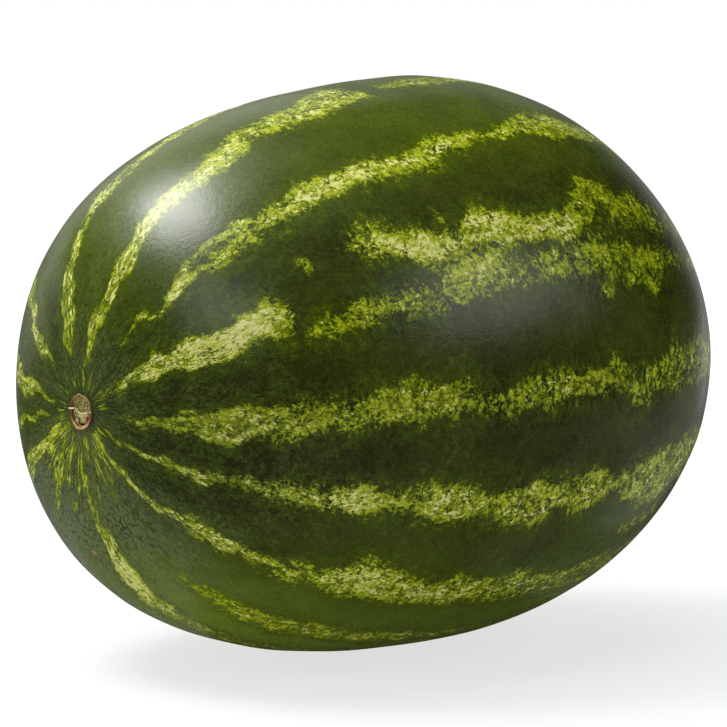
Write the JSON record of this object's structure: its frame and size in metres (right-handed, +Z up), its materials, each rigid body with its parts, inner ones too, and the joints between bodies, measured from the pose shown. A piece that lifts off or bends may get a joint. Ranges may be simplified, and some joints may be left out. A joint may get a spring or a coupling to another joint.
{
  "type": "seedless watermelon",
  "caption": "Whole oval seedless watermelon, dark green with pale broken stripes, lying on a small flat spot, with a corky stem scar and a blossom scar at its ends.",
  "frame": {"origin": "on the surface that the fruit rests on, under the middle of its length and width", "axes": "+X along the fruit from the stem end to the blossom end, +Z up"},
  "size_m": [0.2848, 0.2256, 0.2247],
  "materials": {
    "rind": null,
    "cork": "dry, matt orange-brown corky scar with torn fibres. It is grown into the rind, so it has no node of its own."
  },
  "bodies": {
    "root": {"watermelon": "rind"}
  },
  "joints": []
}
